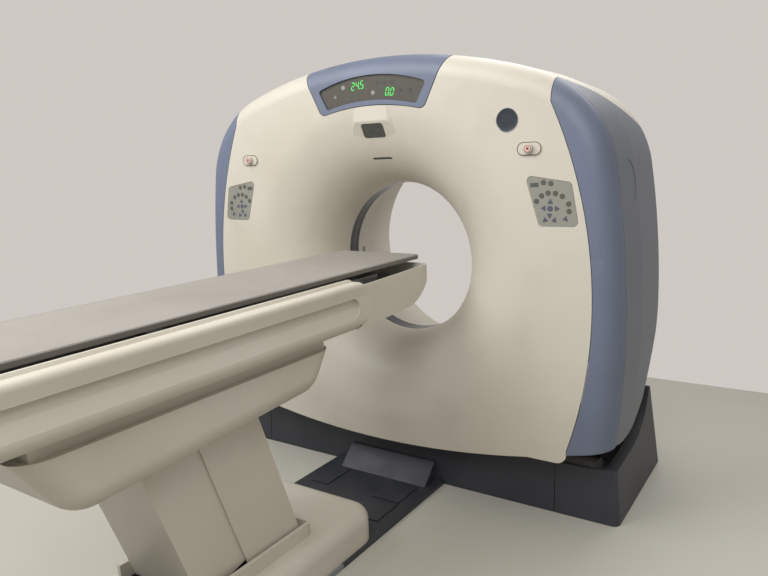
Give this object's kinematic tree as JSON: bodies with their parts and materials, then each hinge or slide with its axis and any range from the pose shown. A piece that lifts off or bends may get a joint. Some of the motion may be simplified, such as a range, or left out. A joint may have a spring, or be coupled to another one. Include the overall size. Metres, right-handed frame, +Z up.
{
  "type": "ct scanner",
  "caption": "Tilting CT scanner: flared round gantry on a floor base, with a patient table on parallel lifting legs and a sliding cradle.",
  "frame": {"origin": "on the floor under the middle of the scan plane", "axes": "+Z up, +Y into the bore from the table side, +X to the right seen from the table"},
  "size_m": [2.11, 3.33, 1.8879],
  "materials": {
    "cover_cream": "satin moulded cover",
    "cover_blue": "satin moulded cover",
    "base_dark": "fine textured",
    "steel_painted": "painted",
    "steel_bare": "machined",
    "cast_aluminium": "cast",
    "window_dark": "gloss tinted pane",
    "scan_window": "gloss film",
    "keypad_grey": "membrane",
    "button_red": "gloss",
    "cradle_grey": "carbon fibre",
    "mattress_grey": "vinyl"
  },
  "bodies": {
    "base": {"base_frame": "steel_painted", "base_front_cover": "base_dark", "base_corner_cover_right": "base_dark", "base_corner_cover_left": "base_dark", "base_rear_cover": "base_dark", "tilt_tower_right": "steel_painted", "tilt_tower_left": "steel_painted", "floor_plate": "base_dark", "floor_ramp": "base_dark", "table_base": "steel_painted", "pedestal_cover": "cover_cream"},
    "gantry": {"front_cover": "cover_cream", "trim_strip_right": "cover_blue", "trim_strip_left": "cover_blue", "side_cover_right": "cover_blue", "side_cover_left": "cover_blue", "top_cover": "cover_cream", "rear_cover": "cover_cream", "display_housing": "cover_blue", "display_window": "window_dark", "pod_lens": "window_dark", "laser_window_top": "window_dark", "laser_window_right": "window_dark", "laser_window_left": "window_dark", "bore_ring": "cover_cream", "scan_window_ring": "scan_window", "tilt_frame": "steel_painted", "bearing_race": "steel_bare", "rotor_motor": "steel_bare", "keypad_right": "keypad_grey", "keypad_left": "keypad_grey", "stop_bezel_right": "cover_cream", "stop_bezel_left": "cover_cream"},
    "rotor": {"rotor_drum": "cast_aluminium", "xray_tube": "steel_bare", "collimator": "steel_bare", "detector": "steel_bare", "voltage_tank": "steel_painted", "data_unit": "steel_painted", "slip_ring": "steel_bare"},
    "stop_button_right": {"stop_button_right": "button_red"},
    "stop_button_left": {"stop_button_left": "button_red"},
    "pedal_up": {"pedal_up": "base_dark"},
    "pedal_down": {"pedal_down": "base_dark"},
    "pedal_home": {"pedal_home": "base_dark"},
    "front_leg": {"front_link": "steel_painted", "front_leg_cover": "cover_cream"},
    "rear_leg": {"rear_link": "steel_painted", "rear_leg_cover": "cover_cream"},
    "table_top": {"table_chassis": "steel_painted", "cradle_track": "steel_bare", "table_side_right": "cover_cream", "table_side_left": "cover_cream", "table_nose": "cover_cream", "table_end_cap": "cover_cream", "belly_pan": "cover_cream"},
    "cradle": {"cradle": "cradle_grey", "mattress": "mattress_grey", "cradle_carriage": "steel_painted"}
  },
  "joints": [
    {"name": "gantry_tilt", "type": "hinge", "parent": "base", "child": "gantry", "pos_m": [0, 0, 1.005], "axis": [-1, 0, 0], "range_deg": [-30, 30]},
    {"name": "rotor_spin", "type": "hinge", "parent": "gantry", "child": "rotor", "pos_m": [0, 0, 1.005], "axis": [0, 1, 0], "continuous": true},
    {"name": "stop_press_right", "type": "slide", "parent": "gantry", "child": "stop_button_right", "axis": [0, 1, 0], "range_m": [0, 0.004], "stiffness_N_per_m": 1500, "springref_m": -0.002},
    {"name": "stop_press_left", "type": "slide", "parent": "gantry", "child": "stop_button_left", "axis": [0, 1, 0], "range_m": [0, 0.004], "stiffness_N_per_m": 1500, "springref_m": -0.002},
    {"name": "leg_swing", "type": "hinge", "parent": "base", "child": "front_leg", "pos_m": [0, -1.219, 0.13], "axis": [-1, 0, 0], "range_deg": [-58, 0]},
    {"name": "rear_leg_swing", "type": "hinge", "parent": "base", "child": "rear_leg", "pos_m": [0, -1.448, 0.13], "axis": [-1, 0, 0], "range_deg": [-58, 0]},
    {"name": "table_level", "type": "hinge", "parent": "front_leg", "child": "table_top", "pos_m": [0, -1.43583, 0.75972], "axis": [-1, 0, 0], "range_deg": [0, 58]},
    {"name": "cradle_slide", "type": "slide", "parent": "table_top", "child": "cradle", "axis": [0, 1, 0], "range_m": [0, 1.7]},
    {"name": "pedal_up_press", "type": "hinge", "parent": "base", "child": "pedal_up", "pos_m": [0, -0.364, 0.013], "axis": [1, 0, 0], "range_deg": [0, 2.5], "stiffness_Nm_per_rad": 8, "springref_deg": -5.73},
    {"name": "pedal_down_press", "type": "hinge", "parent": "base", "child": "pedal_down", "pos_m": [0, -0.536, 0.013], "axis": [1, 0, 0], "range_deg": [0, 2.5], "stiffness_Nm_per_rad": 8, "springref_deg": -5.73},
    {"name": "pedal_home_press", "type": "hinge", "parent": "base", "child": "pedal_home", "pos_m": [0, -0.354, 0.013], "axis": [1, 0, 0], "range_deg": [0, 2.5], "stiffness_Nm_per_rad": 8, "springref_deg": -5.73}
  ],
  "couplings": [
    {"joint": "rear_leg_swing", "follows": "leg_swing", "ratio": 1},
    {"joint": "table_level", "follows": "leg_swing", "ratio": -1}
  ]
}
